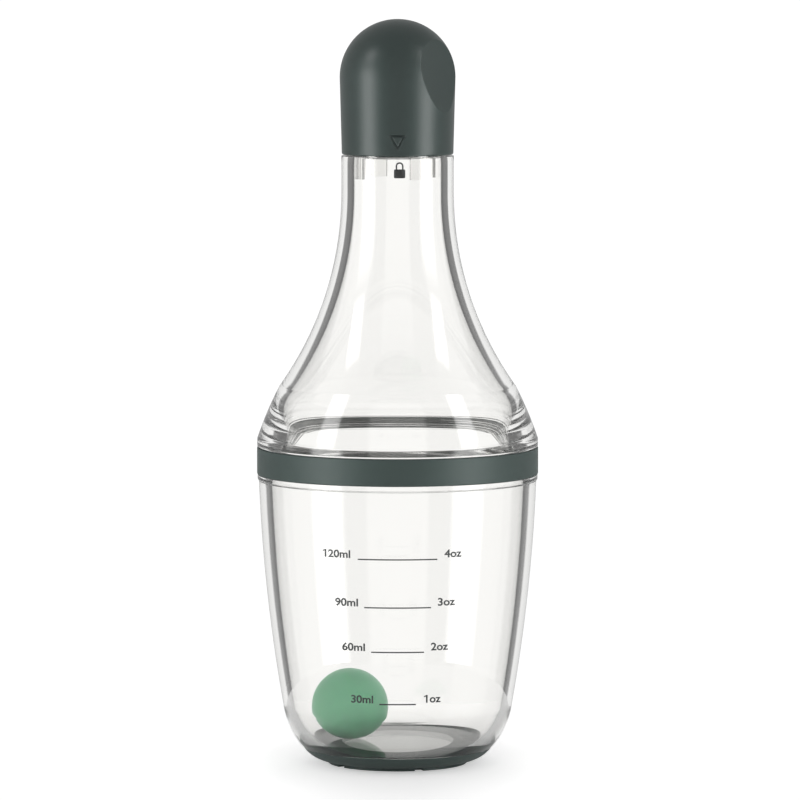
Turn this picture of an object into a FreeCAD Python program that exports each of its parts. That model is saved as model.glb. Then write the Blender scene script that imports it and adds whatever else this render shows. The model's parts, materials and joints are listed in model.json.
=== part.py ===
import FreeCAD, Part
import math
import os
import re
import Sketcher

# A clear salad dressing shaker: a measuring cup, a screw-on funnel with a pouring
# spout, a twist-off domed cap and a loose mixing ball.
# Millimetres. +Z is up, the printed front faces -Y, and the origin is the centre of
# the foot, on the table.

SIZES = [
    # Fits
    ("seat_gap", 0.05, "between flat faces that close on each other"),
    ("running_gap", 0.3, "between round faces that move past each other"),
    ("press_gap", 0.1, "round a piece that is pushed into its place"),
    # Foot ring
    ("foot_pad_radius", "=cup_seat_radius + foot_pad_lap",
     "outside of the ring that touches the table"),
    ("foot_pad_lap", 0.5, "pad past the flat of the cup"),
    ("foot_opening_radius", "=foot_pad_radius - foot_pad_width", "open middle of the foot"),
    ("foot_pad_width", 3.1, "width of the pad"),
    ("foot_pad_height", 0.8, "how far the pad stands out below the dish"),
    ("foot_pad_step", 0.5, "ledge between the pad and the dish"),
    ("foot_rim_radius", "=cup_hip_radius - foot_tuck", "top edge of the dish, flush with the cup"),
    ("foot_tuck", 4.9, "edge of the dish inside the hip of the cup"),
    ("foot_rim_height", 4.0, "height of that edge above the table"),
    ("foot_rim_width", 1.0, "thickness of the dish at its edge"),
    ("foot_round", 8.0, "round of the dish"),
    ("foot_notch_width", 2.2, "air notch in the pad"),
    ("foot_notch_length", 2.0, "reach of the notch from the outside"),
    ("foot_notch_depth", 0.6, "depth of the notch"),
    # Cup
    ("cup_base_height", 1.9, "underside of the cup"),
    ("cup_seat_radius", "=foot_rim_radius - foot_dish_width", "flat part of the underside"),
    ("foot_dish_width", 6.7, "width of the dish outside that flat"),
    ("cup_floor_height", "=cup_base_height + cup_floor_thickness", "floor inside the cup"),
    ("cup_floor_thickness", 3.1, "thickness of the floor"),
    ("cup_floor_radius", "=cup_hip_radius - cup_wall - cup_floor_tuck",
     "flat part of the floor"),
    ("cup_floor_tuck", 5.82, "flat of the floor inside the wall"),
    ("cup_floor_round", 16.3, "round between floor and wall, inside"),
    ("cup_corner_round", 19.75, "round between foot and wall, outside"),
    ("cup_hip_radius", "=cup_lip_radius - cup_lip_step - cup_taper",
     "where the wall starts, outside"),
    ("cup_taper", 6.25, "how much narrower the hip is than the top of the wall"),
    ("cup_hip_height", 13.5, "height of that place"),
    ("cup_wall", 2.56, "wall at the hip"),
    ("cup_inner_rise", 1.3, "start of the wall inside, above the hip"),
    ("cup_wall_round", 415.0, "gentle belly of the wall"),
    ("cup_lip_base", 71.15, "underside of the lip that carries the band"),
    ("cup_lip_radius", "=band_radius - lip_inset", "outside of the lip"),
    ("lip_inset", 0.15, "lip inside the face of the band"),
    ("cup_lip_step", 0.3, "step from the lip to the wall"),
    ("cup_lip_height", 1.5, "thickness of the lip"),
    ("collar_radius", "=band_radius - band_wall - running_gap",
     "collar above the lip, inside the band"),
    ("collar_wall", 1.6, "wall of the collar"),
    ("collar_height", 5.5, "height of the collar"),
    # Screw thread between cup and funnel
    ("thread_pitch", 2.6, "rise for one turn"),
    ("thread_depth", 0.7, "height of a ridge"),
    ("thread_gap", 0.3, "crest of one ridge to the wall across from it"),
    ("thread_base", 1.5, "width of a ridge at its root"),
    ("thread_crest", 0.7, "width of a ridge at its crest"),
    ("thread_sink", 0.3, "root of a ridge inside its wall"),
    ("thread_lead_in", 1.0, "plain end of the skirt below the ridge"),
    ("skirt_thread_turns", 1.2, "turns of the ridge on the skirt"),
    ("cup_thread_turns", 1.4, "turns of the ridge in the cup"),
    # Seal band
    ("band_radius", 35.1, "outside of the band"),
    ("band_bore", "=skirt_radius + band_clearance", "hole in the lid of the band"),
    ("band_clearance", 0.7, "lid of the band to the skirt"),
    ("band_wall", 1.8, "thickness of the band round the collar"),
    ("band_lid", 1.2, "thickness of the lid that is squeezed"),
    ("band_edge", 0.3, "rounded edges of the band"),
    # Funnel
    ("skirt_radius", "=collar_radius - collar_wall - thread_gap - thread_depth",
     "skirt that goes into the cup, outside"),
    ("skirt_bore", "=skirt_radius - skirt_wall", "skirt, inside"),
    ("skirt_wall", 1.2, "wall of the skirt"),
    ("skirt_height", 6.4, "length of the skirt below the flange"),
    ("flange_radius", "=band_radius - flange_inset", "widest place of the funnel"),
    ("flange_inset", 0.05, "flange inside the face of the band"),
    ("flange_edge", 0.5, "rounded lower edge of the flange"),
    ("flange_height", 1.25, "upright face of the flange"),
    ("shoulder_inset", 0.17, "foot of the shoulder, in from that face"),
    ("shoulder_rise", 0.8, "foot of the shoulder, above that face"),
    ("shoulder_edge", 2.0, "round between that face and the shoulder"),
    ("shoulder_round", 90.0, "slight belly of the shoulder"),
    ("funnel_height", 72.65, "flange to the rim of the neck"),
    ("neck_radius", 14.0, "neck, outside"),
    ("neck_bore", "=neck_radius - neck_wall", "neck, inside"),
    ("neck_wall", 3.15, "wall of the neck"),
    ("neck_straight", 9.2, "straight part of the neck"),
    ("sweep_across", "=(flange_radius - neck_radius) * sweep_across_share", "its reach, sideways"),
    ("sweep_down", "=(funnel_height - neck_straight - flange_edge) * sweep_down_share",
     "its reach, downwards"),
    ("sweep_round", "=(sweep_across ^ 2 + sweep_down ^ 2) / (2 * sweep_across)",
     "long hollow curve from neck to shoulder"),
    ("sweep_across_share", 0.734569915, "width of that curve, from neck to flange"),
    ("sweep_down_share", 0.766498993, "height of that curve, from neck to flange"),
    ("sweep_angle", "=2 * atan(sweep_across / sweep_down)",
     "lean of the wall where the shoulder starts, degrees"),
    ("inner_angle", "=sweep_angle * inner_angle_share", "the same, inside the wall, degrees"),
    ("inner_angle_share", 0.971671388, "lean inside to lean outside"),
    # Pouring spout
    ("spout_flange_radius", "=neck_radius - spout_flange_inset", "flange on the rim of the neck"),
    ("spout_flange_inset", 1.7, "flange inside the face of the neck"),
    ("spout_flange", 1.15, "thickness of the flange"),
    ("spout_leg_wall", 1.2, "thickness of the ring and legs in the neck"),
    ("spout_ring_depth", 0.5, "closed ring in the neck"),
    ("spout_leg_length", 5.6, "reach of the legs below the rim"),
    ("spout_leg_angle", 26.0, "width of a leg, degrees"),
    ("spout_leg_turn", 60.0, "first leg, degrees from the right-hand side to the front"),
    ("spout_tube_radius", "=liner_bore - lug_room", "pouring tube, outside"),
    ("lug_room", 1.8, "tube to the sleeve of the cap"),
    ("spout_bore", "=spout_tube_radius - spout_wall", "pouring tube, inside"),
    ("spout_wall", 2.6, "wall of the tube"),
    ("spout_throat", 0.7, "where the tube opens into the neck"),
    ("spout_height", 10.7, "lip above the rim of the neck"),
    ("spout_lip_radius", "=spout_tube_radius + spout_lip_flare", "pouring lip"),
    ("spout_lip_flare", 0.25, "lip outside the tube"),
    ("spout_lip_depth", 1.6, "flare below the lip"),
    ("spout_lip_round", 0.6, "rounded edges of the lip"),
    # Twist lugs between cap and spout
    ("lug_lead", 12.0, "rise for one turn of the cap"),
    ("lug_turn_share", 0.1667, "part of a turn that one lug covers"),
    ("lug_height", 3.8, "start of a spout lug above the rim of the neck"),
    ("lug_step", 1.45, "cap lug below spout lug when locked"),
    ("lug_base", 1.4, "width of a lug at its root"),
    ("lug_crest", 1.0, "width of a lug at its crest"),
    ("lug_gap", 0.4, "crest of a spout lug to the sleeve"),
    ("lug_sink", 0.3, "root of a lug inside its wall"),
    # Cap seal
    ("seal_thickness", 1.85, "disc that closes the lip"),
    ("seal_radius", "=crown_bore - seal_room", "outside of the disc"),
    ("seal_room", 0.7, "disc to the crown"),
    ("seal_plug_gap", 0.25, "plug to the bore of the tube"),
    ("seal_plug_wall", 1.3, "wall of the hollow plug"),
    ("seal_plug_depth", 3.55, "reach of the plug into the tube"),
    # Cap liner
    ("liner_bore", "=cap_bore - press_gap - liner_wall", "sleeve, inside"),
    ("liner_wall", 1.2, "wall of the sleeve"),
    ("liner_height", "=spout_height - spout_flange - running_gap - liner_slope",
     "height of the sleeve"),
    ("liner_slope", 1.2, "sloped step to the crown"),
    ("crown_radius", "=crown_bore + crown_wall", "crown round the seal, outside"),
    ("crown_wall", 1.2, "wall of the crown"),
    ("crown_bore", "=liner_bore - crown_step", "crown round the seal, inside"),
    ("crown_step", 1.1, "crown narrower than the sleeve"),
    ("crown_lid", 1.45, "thickness of the crown above the seal"),
    ("stud_radius", 1.9, "stud that carries the seal"),
    ("stud_head_radius", 3.3, "head of the stud"),
    ("stud_head_height", 1.35, "height of the head"),
    # Cap shell
    ("cap_foot_radius", "=cap_radius - cap_taper", "lower edge of the cap"),
    ("cap_taper", 0.5, "lower edge narrower than the dome"),
    ("cap_radius", "=neck_radius + cap_swell", "widest place of the cap, and round of the dome"),
    ("cap_swell", 0.4, "cap wider than the neck"),
    ("cap_bore", "=cap_radius - cap_wall", "inside of the shell, and of its dome"),
    ("cap_wall", 1.7, "wall of the shell"),
    ("cap_edge", 0.4, "rounded lower edge"),
    ("cap_wall_height", 19.2, "lower edge to the start of the dome"),
    ("scoop_turn", 33.7, "thumb scoop, degrees from the right-hand side to the front"),
    ("scoop_tilt", 10.8, "lean of the scoop towards the dome, degrees"),
    ("scoop_round", 90.0, "round of the scoop, nearly flat"),
    ("scoop_depth", 2.27, "depth of the scoop at its middle"),
    ("scoop_height", 19.16, "middle of the scoop above the lower edge"),
    ("scoop_wall", 1.5, "wall behind the scoop"),
    ("mark_width", 4.2, "position mark on the cap"),
    ("mark_height", 3.7, "height of the mark"),
    ("mark_foot", 1.6, "tip of the mark above the lower edge"),
    ("mark_depth", 0.35, "depth of the mark"),
    ("mark_hollow_share", 0.64, "part of the mark that is left standing inside"),
    ("mark_centre_share", 0.33, "middle of the mark, from its top"),
    # Mixing ball
    ("ball_radius", 9.55, "mixing ball"),
    ("ball_rest_gap", 0.1, "ball above the floor"),
    ("ball_left", "=cup_hip_radius - cup_wall - ball_radius - ball_side_gap",
     "ball to the left of the middle"),
    ("ball_side_gap", 4.4, "ball to the wall on its left"),
    ("ball_front", 1.5, "ball in front of the middle"),
]

doc = FreeCAD.newDocument("DressingShaker")
sheet = doc.addObject("Spreadsheet::Sheet", "Sizes")
for row, (alias, size, meaning) in enumerate(SIZES, start=1):
    sheet.set("A%d" % row, alias)
    sheet.set("B%d" % row, str(size))
    sheet.set("C%d" % row, meaning)
    sheet.setAlias("B%d" % row, alias)
doc.recompute()
NAMES = {alias for alias, size, meaning in SIZES}

# Heights and radii that follow from the sizes
LIP_TOP = "(cup_lip_base + cup_lip_height)"
COLLAR_TOP = f"({LIP_TOP} + collar_height)"
FLANGE = f"({COLLAR_TOP} + band_lid + 2 * seat_gap)"
MOUTH = "(skirt_radius + thread_depth + thread_gap)"
SKIRT_FOOT = f"({FLANGE} - skirt_height)"
THREAD = f"({SKIRT_FOOT} + thread_lead_in)"
RIM = f"({FLANGE} + funnel_height)"
SWEEP_TOP = f"({RIM} - neck_straight)"
PLUG = "(neck_bore - press_gap)"
LIP = f"({RIM} + spout_height)"
CEILING = f"({LIP} + seal_thickness + 2 * seat_gap)"
SEAL_FOOT = f"({LIP} + seat_gap)"
LUG = f"({RIM} + lug_height)"
CAP_FOOT = f"({RIM} + running_gap)"
LINER_FOOT = f"({RIM} + spout_flange + running_gap)"
LINER_TOP = f"({LINER_FOOT} + liner_height)"
DOME = f"({CAP_FOOT} + cap_wall_height)"


def bound(formula):
    """The formula with each size pointing at its cell."""
    return re.sub(r"[a-z_]+", lambda m: "Sizes." + m[0] if m[0] in NAMES else m[0], formula)


def number(formula):
    """What the formula gives now."""
    return float(sheet.evalExpression(formula))


def new_body(name):
    return doc.addObject("PartDesign::Body", name)


def plane_of(body, role):
    return [face for face in body.Origin.OriginFeatures if face.Role == role][0]


def new_sketch(body, name, role):
    sketch = body.newObject("Sketcher::SketchObject", name)
    sketch.AttachmentSupport = [(plane_of(body, role), "")]
    sketch.MapMode = "FlatFace"
    return sketch


def pin_corner(sketch, geo, end, across, up):
    """Holds one corner of an outline at its two formulas."""
    for kind, axis, formula in (("DistanceX", -2, across), ("DistanceY", -1, up)):
        if formula == "0":
            sketch.addConstraint(Sketcher.Constraint("PointOnObject", geo, end, axis))
            continue
        size = Sketcher.Constraint(kind, -1, 1, geo, end, number(formula))
        place = sketch.addConstraint(size)
        sketch.setExpression("Constraints[%d]" % place, bound(formula))


def arc_between(start, end, radius, side):
    """Arc from start to end whose centre lies left (1) or right (-1) of its run."""
    run = end - start
    reach = math.sqrt(radius ** 2 - run.Length ** 2 / 4)
    aside = FreeCAD.Vector(-run.y, run.x, 0).normalize() * side
    centre = (start + end) / 2 + aside * reach
    circle = Part.Circle(centre, FreeCAD.Vector(0, 0, 1), radius)
    first, last = (start, end) if side > 0 else (end, start)
    angles = [math.atan2(point.y - centre.y, point.x - centre.x) for point in (first, last)]
    return Part.ArcOfCircle(circle, angles[0], angles[1])


def draw(sketch, corners, rounds=None):
    """A closed outline through the corners. rounds gives the sides that are arcs."""
    rounds = rounds or {}
    points = [FreeCAD.Vector(number(across), number(up), 0) for across, up in corners]
    sides = []
    for i, point in enumerate(points):
        after = points[(i + 1) % len(points)]
        if i in rounds:
            formula, side = rounds[i]
            geo = sketch.addGeometry(arc_between(point, after, number(formula), side))
            sides.append((geo, 1, 2) if side > 0 else (geo, 2, 1))
        else:
            sides.append((sketch.addGeometry(Part.LineSegment(point, after)), 1, 2))
    for i, (geo, start, end) in enumerate(sides):
        next_geo, next_start, next_end = sides[(i + 1) % len(sides)]
        sketch.addConstraint(Sketcher.Constraint("Coincident", geo, end, next_geo, next_start))
    for (geo, start, end), (across, up) in zip(sides, corners):
        pin_corner(sketch, geo, start, across, up)
    for i, (formula, side) in rounds.items():
        size = Sketcher.Constraint("Radius", sides[i][0], number(formula))
        place = sketch.addConstraint(size)
        sketch.setExpression("Constraints[%d]" % place, bound(formula))
    return sketch


def turned(body, name, corners, rounds=None):
    """The outline turned round the upright axis."""
    sketch = draw(new_sketch(body, name + "Outline", "XZ_Plane"), corners, rounds)
    turn = body.newObject("PartDesign::Revolution", name + "Turn")
    turn.Profile = sketch
    turn.ReferenceAxis = (sketch, ["V_Axis"])
    turn.Angle = 360.0
    sketch.Visibility = False
    doc.recompute()
    return turn


def ridge(body, name, root, crest, height, widths, lead, turns):
    """A ridge that climbs round the upright axis, right-handed."""
    base, top = widths
    corners = [
        (root, f"{height} - {base} / 2"),
        (crest, f"{height} - {top} / 2"),
        (crest, f"{height} + {top} / 2"),
        (root, f"{height} + {base} / 2"),
    ]
    sketch = draw(new_sketch(body, name + "Outline", "XZ_Plane"), corners)
    helix = body.newObject("PartDesign::AdditiveHelix", name)
    helix.Profile = sketch
    helix.ReferenceAxis = (sketch, ["V_Axis"])
    helix.Mode = "pitch-turns-angle"
    helix.setExpression("Pitch", bound(lead))
    helix.setExpression("Turns", bound(turns))
    sketch.Visibility = False
    doc.recompute()
    body.Tip = helix
    return helix


def repeated(body, name, feature, count):
    """The feature again, evenly round the upright axis."""
    pattern = body.newObject("PartDesign::PolarPattern", name)
    pattern.Originals = [feature]
    pattern.Axis = ([axis for axis in body.Origin.OriginFeatures if axis.Role == "Z_Axis"][0], [""])
    pattern.Angle = 360.0
    pattern.Occurrences = count
    body.Tip = pattern
    doc.recompute()
    return pattern


def make_foot_ring():
    body = new_body("foot_ring")
    corners = [
        ("foot_opening_radius", "0"),
        ("foot_pad_radius", "0"),
        ("foot_pad_radius", "foot_pad_height"),
        ("foot_pad_radius + foot_pad_step", "foot_pad_height"),
        ("foot_rim_radius", "foot_rim_height - seat_gap"),
        ("foot_rim_radius - foot_rim_width + seat_gap", "foot_rim_height - seat_gap"),
        ("cup_seat_radius + seat_gap", "cup_base_height - seat_gap"),
        ("foot_opening_radius", "cup_base_height - seat_gap"),
    ]
    turned(body, "Foot", corners, {3: ("foot_round", 1)})
    inner = "foot_pad_radius - foot_notch_length"
    outer = "foot_pad_radius + foot_pad_step"
    notch = [
        (inner, "0 - foot_notch_width / 2"),
        (outer, "0 - foot_notch_width / 2"),
        (outer, "foot_notch_width / 2"),
        (inner, "foot_notch_width / 2"),
    ]
    sketch = draw(new_sketch(body, "NotchOutline", "XY_Plane"), notch)
    cut = body.newObject("PartDesign::Pocket", "Notch")
    cut.Profile = sketch
    cut.Reversed = True
    cut.setExpression("Length", bound("foot_notch_depth"))
    sketch.Visibility = False
    doc.recompute()
    body.Tip = cut
    repeated(body, "Notches", cut, 5)
    return body


def make_cup():
    body = new_body("cup")
    corners = [
        ("0", "cup_base_height"),
        ("cup_seat_radius", "cup_base_height"),
        ("foot_rim_radius - foot_rim_width", "foot_rim_height"),
        ("foot_rim_radius", "foot_rim_height"),
        ("cup_hip_radius", "cup_hip_height"),
        ("cup_lip_radius - cup_lip_step", "cup_lip_base"),
        ("cup_lip_radius", "cup_lip_base"),
        ("cup_lip_radius", LIP_TOP),
        ("collar_radius", LIP_TOP),
        ("collar_radius", COLLAR_TOP),
        (MOUTH, COLLAR_TOP),
        (MOUTH, "cup_lip_base"),
        ("cup_hip_radius - cup_wall", "cup_hip_height + cup_inner_rise"),
        ("cup_floor_radius", "cup_floor_height"),
        ("0", "cup_floor_height"),
    ]
    rounds = {
        3: ("cup_corner_round", 1),
        4: ("cup_wall_round", 1),
        11: ("cup_wall_round", -1),
        12: ("cup_floor_round", -1),
    }
    turned(body, "Cup", corners, rounds)
    widths = ("thread_base", "thread_crest")
    height = f"({THREAD} - thread_pitch / 2)"
    root = f"{MOUTH} + thread_sink"
    crest = f"{MOUTH} - thread_depth"
    ridge(body, "CupThread", root, crest, height, widths, "thread_pitch", "cup_thread_turns")
    return body


def make_seal_band():
    body = new_body("seal_band")
    inside = "collar_radius + running_gap"
    low = f"({LIP_TOP} + seat_gap)"
    high = f"({FLANGE} - seat_gap)"
    corners = [
        (inside, low),
        ("band_radius - band_edge", low),
        ("band_radius", f"{low} + band_edge"),
        ("band_radius", f"{high} - band_edge"),
        ("band_radius - band_edge", high),
        ("band_bore", high),
        ("band_bore", f"{COLLAR_TOP} + seat_gap"),
        (inside, f"{COLLAR_TOP} + seat_gap"),
    ]
    turned(body, "Band", corners, {1: ("band_edge", 1), 3: ("band_edge", 1)})
    return body


def make_funnel():
    body = new_body("funnel")
    joint_across = "(neck_radius + sweep_round * (1 - cos(sweep_angle)))"
    joint_up = f"({SWEEP_TOP} - sweep_round * sin(sweep_angle))"
    edge_up = f"({FLANGE} + flange_edge)"
    face_up = f"({edge_up} + flange_height)"
    inner_round = "(sweep_round + neck_radius - neck_bore)"
    inner_across = f"(neck_bore + {inner_round} * (1 - cos(inner_angle)))"
    inner_up = f"({SWEEP_TOP} - {inner_round} * sin(inner_angle))"
    inner_turn = f"((skirt_bore - {inner_across}) / (1 - cos(inner_angle)))"
    corners = [
        ("skirt_bore", SKIRT_FOOT),
        ("skirt_radius", SKIRT_FOOT),
        ("skirt_radius", FLANGE),
        ("flange_radius - flange_edge", FLANGE),
        ("flange_radius", edge_up),
        ("flange_radius", face_up),
        ("flange_radius - shoulder_inset", f"{face_up} + shoulder_rise"),
        (joint_across, joint_up),
        ("neck_radius", SWEEP_TOP),
        ("neck_radius", RIM),
        ("neck_bore", RIM),
        ("neck_bore", SWEEP_TOP),
        (inner_across, inner_up),
        ("skirt_bore", f"{inner_up} - {inner_turn} * sin(inner_angle)"),
    ]
    rounds = {
        3: ("flange_edge", 1),
        5: ("shoulder_edge", 1),
        6: ("shoulder_round", 1),
        7: ("sweep_round", -1),
        11: (inner_round, 1),
        12: (inner_turn, -1),
    }
    turned(body, "Funnel", corners, rounds)
    widths = ("thread_base", "thread_crest")
    root = "skirt_radius - thread_sink"
    crest = "skirt_radius + thread_depth"
    ridge(body, "SkirtThread", root, crest, THREAD, widths, "thread_pitch", "skirt_thread_turns")
    return body


def make_pour_spout():
    body = new_body("pour_spout")
    ring_bore = f"({PLUG} - spout_leg_wall)"
    ring_foot = f"({RIM} - spout_ring_depth)"
    corners = [
        (ring_bore, ring_foot),
        (PLUG, ring_foot),
        (PLUG, RIM),
        ("spout_flange_radius", RIM),
        ("spout_flange_radius", f"{RIM} + spout_flange"),
        ("spout_tube_radius", f"{RIM} + spout_flange"),
        ("spout_tube_radius", f"{LIP} - spout_lip_depth"),
        ("spout_lip_radius", f"{LIP} - spout_lip_round"),
        ("spout_lip_radius - spout_lip_round", LIP),
        ("spout_bore + spout_lip_round", LIP),
        ("spout_bore", f"{LIP} - spout_lip_round"),
        ("spout_bore", f"{RIM} + spout_throat"),
    ]
    turned(body, "Spout", corners, {7: ("spout_lip_round", 1), 9: ("spout_lip_round", 1)})
    leg = [
        (ring_bore, f"{RIM} - spout_leg_length"),
        (PLUG, f"{RIM} - spout_leg_length"),
        (PLUG, f"{ring_foot} + spout_throat"),
        (ring_bore, f"{ring_foot} + spout_throat"),
    ]
    sketch = new_sketch(body, "LegOutline", "XZ_Plane")
    turn = FreeCAD.Rotation(FreeCAD.Vector(0, 1, 0), number("0 - spout_leg_turn"))
    sketch.AttachmentOffset = FreeCAD.Placement(FreeCAD.Vector(0, 0, 0), turn)
    draw(sketch, leg)
    part_turn = body.newObject("PartDesign::Revolution", "Leg")
    part_turn.Profile = sketch
    part_turn.ReferenceAxis = (sketch, ["V_Axis"])
    part_turn.Midplane = True
    part_turn.setExpression("Angle", bound("spout_leg_angle"))
    sketch.Visibility = False
    doc.recompute()
    body.Tip = part_turn
    repeated(body, "Legs", part_turn, 4)
    widths = ("lug_base", "lug_crest")
    root = "spout_tube_radius - lug_sink"
    crest = "liner_bore - lug_gap"
    lug = ridge(body, "SpoutLug", root, crest, LUG, widths, "lug_lead", "lug_turn_share")
    repeated(body, "SpoutLugs", lug, 2)
    return body


def make_cap_seal():
    body = new_body("cap_seal")
    plug = "(spout_bore - seal_plug_gap)"
    hole = "(stud_radius + running_gap)"
    plug_foot = f"({SEAL_FOOT} - seal_plug_depth)"
    top = f"({CEILING} - seat_gap)"
    corners = [
        (hole, SEAL_FOOT),
        (f"{plug} - seal_plug_wall", SEAL_FOOT),
        (f"{plug} - seal_plug_wall", plug_foot),
        (plug, plug_foot),
        (plug, SEAL_FOOT),
        ("seal_radius", SEAL_FOOT),
        ("seal_radius", top),
        (hole, top),
    ]
    turned(body, "Seal", corners)
    return body


def make_cap_liner():
    body = new_body("cap_liner")
    outside = "(cap_bore - press_gap)"
    head_top = f"({SEAL_FOOT} - running_gap)"
    head_foot = f"({head_top} - stud_head_height)"
    roof = f"({CEILING} + crown_lid)"
    corners = [
        ("liner_bore", LINER_FOOT),
        (outside, LINER_FOOT),
        (outside, LINER_TOP),
        ("crown_radius", f"{LINER_TOP} + liner_slope"),
        ("crown_radius", roof),
        ("0", roof),
        ("0", head_foot),
        ("stud_head_radius", head_foot),
        ("stud_head_radius", head_top),
        ("stud_radius", head_top),
        ("stud_radius", CEILING),
        ("crown_bore", CEILING),
        ("crown_bore", LINER_TOP),
        ("liner_bore", f"{LINER_TOP} - liner_slope"),
    ]
    turned(body, "Liner", corners)
    widths = ("lug_base", "lug_crest")
    root = "liner_bore + lug_sink"
    crest = "spout_lip_radius + running_gap"
    height = f"({LUG} - lug_step)"
    lug = ridge(body, "LinerLug", root, crest, height, widths, "lug_lead", "lug_turn_share")
    repeated(body, "LinerLugs", lug, 2)
    return body


def scooped(body, name, extra):
    """Takes the two thumb scoops away, made larger by the extra length."""
    scoop = body.newObject("PartDesign::SubtractiveSphere", name)
    scoop.AttachmentSupport = [(plane_of(body, "XY_Plane"), "")]
    scoop.MapMode = "FlatFace"
    away = "(cap_radius - scoop_depth + scoop_round * cos(scoop_tilt))"
    rise = "(scoop_height + scoop_round * sin(scoop_tilt))"
    scoop.setExpression("Radius", bound(f"scoop_round + {extra}"))
    scoop.setExpression("AttachmentOffset.Base.x", bound(f"{away} * cos(scoop_turn)"))
    scoop.setExpression("AttachmentOffset.Base.y", bound(f"0 - {away} * sin(scoop_turn)"))
    scoop.setExpression("AttachmentOffset.Base.z", bound(f"{CAP_FOOT} + {rise}"))
    doc.recompute()
    body.Tip = scoop
    repeated(body, name + "Pair", scoop, 2)


def mark_corners(share):
    """The position mark, a triangle on its tip, drawn in to the given share."""
    top = f"({CAP_FOOT} + mark_foot + mark_height)"
    middle = f"({top} - mark_height * mark_centre_share)"
    half = f"(mark_width / 2 * {share})"
    high = f"({middle} + mark_height * mark_centre_share * {share})"
    tip = f"({middle} - mark_height * (1 - mark_centre_share) * {share})"
    return [(f"0 - {half}", high), ("0", tip), (half, high)]


def make_cap_shell():
    body = new_body("CapOutside")
    outside = [
        ("0", CAP_FOOT),
        ("cap_foot_radius - cap_edge", CAP_FOOT),
        ("cap_foot_radius", f"{CAP_FOOT} + cap_edge"),
        ("cap_radius", DOME),
        ("0", f"{DOME} + cap_radius"),
    ]
    turned(body, "CapOutside", outside, {1: ("cap_edge", 1), 3: ("cap_radius", 1)})
    scooped(body, "Scoop", "0")
    sketch = new_sketch(body, "MarkOutline", "XZ_Plane")
    sketch.setExpression("AttachmentOffset.Base.z", bound("cap_foot_radius - mark_depth"))
    draw(sketch, mark_corners("1"))
    draw(sketch, mark_corners("mark_hollow_share"))
    mark = body.newObject("PartDesign::Pocket", "Mark")
    mark.Profile = sketch
    mark.Reversed = True
    mark.setExpression("Length", bound("mark_width"))
    sketch.Visibility = False
    doc.recompute()
    body.Tip = mark
    hollow = new_body("CapHollow")
    inside = [
        ("0", f"{CAP_FOOT} - cap_edge"),
        ("cap_bore", f"{CAP_FOOT} - cap_edge"),
        ("cap_bore", DOME),
        ("0", f"{DOME} + cap_bore"),
    ]
    turned(hollow, "CapInside", inside, {2: ("cap_bore", 1)})
    scooped(hollow, "Boss", "scoop_wall")
    shell = doc.addObject("Part::Cut", "cap_shell")
    shell.Base = body
    shell.Tool = hollow
    doc.recompute()
    return shell


def make_mixing_ball():
    ball = doc.addObject("Part::Sphere", "mixing_ball")
    ball.setExpression("Radius", bound("ball_radius"))
    ball.setExpression("Placement.Base.x", bound("0 - ball_left"))
    ball.setExpression("Placement.Base.y", bound("0 - ball_front"))
    ball.setExpression("Placement.Base.z", bound("cup_floor_height + ball_radius + ball_rest_gap"))
    return ball


pieces = [
    make_cup(),
    make_foot_ring(),
    make_seal_band(),
    make_funnel(),
    make_pour_spout(),
    make_cap_seal(),
    make_cap_liner(),
    make_cap_shell(),
    make_mixing_ball(),
]
doc.recompute()

# Every feature is sound before anything is written
for item in doc.Objects:
    if "Invalid" in item.State or "Error" in item.State:
        raise RuntimeError("%s did not build" % item.Name)
for piece in pieces:
    if piece.Shape.isNull() or not piece.Shape.isValid() or len(piece.Shape.Solids) != 1:
        raise RuntimeError("%s is not one sound solid" % piece.Name)

os.makedirs("parts", exist_ok=True)
for piece in pieces:
    piece.Label = piece.Name
    piece.Shape.Solids[0].exportStep("parts/%s.step" % piece.Label)
    box = piece.Shape.optimalBoundingBox()
    print("%-12s %9.1f mm3  z %6.2f to %6.2f" % (piece.Label, piece.Shape.Volume, box.ZMin, box.ZMax))
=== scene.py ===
# %% [markdown]
# # A clear salad dressing shaker
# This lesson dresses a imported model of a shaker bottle: a clear measuring cup, a screw-on
# clear funnel, a soft sealing band, a twist-off cap and a loose mixing ball. The packed
# model fixes where everything sits and how it moves. Blender adds the looks: finely turned
# clear walls that bend light properly, the printed measuring scale, and the finishes.

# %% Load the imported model
import bpy
import json
import math
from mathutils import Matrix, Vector

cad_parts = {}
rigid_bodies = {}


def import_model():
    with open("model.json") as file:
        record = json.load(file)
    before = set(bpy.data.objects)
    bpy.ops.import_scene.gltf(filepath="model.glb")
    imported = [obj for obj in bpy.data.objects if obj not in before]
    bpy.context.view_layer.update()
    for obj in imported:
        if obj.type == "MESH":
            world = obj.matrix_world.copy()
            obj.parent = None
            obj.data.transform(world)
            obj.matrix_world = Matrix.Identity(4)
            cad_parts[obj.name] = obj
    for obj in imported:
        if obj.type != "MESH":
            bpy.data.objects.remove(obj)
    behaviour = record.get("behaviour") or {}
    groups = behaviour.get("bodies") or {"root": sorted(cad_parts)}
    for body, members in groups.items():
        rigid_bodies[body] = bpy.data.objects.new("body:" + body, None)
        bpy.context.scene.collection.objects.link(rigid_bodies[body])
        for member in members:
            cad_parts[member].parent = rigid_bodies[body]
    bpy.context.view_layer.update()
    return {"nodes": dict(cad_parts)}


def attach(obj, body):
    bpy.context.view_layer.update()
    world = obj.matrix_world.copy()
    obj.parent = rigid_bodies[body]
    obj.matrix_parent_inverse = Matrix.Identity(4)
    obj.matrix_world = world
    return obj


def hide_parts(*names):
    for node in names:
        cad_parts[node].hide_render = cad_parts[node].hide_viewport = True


for leftover in list(bpy.data.objects):
    bpy.data.objects.remove(leftover)
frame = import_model()
nodes = frame["nodes"]
MM = 0.001
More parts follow.
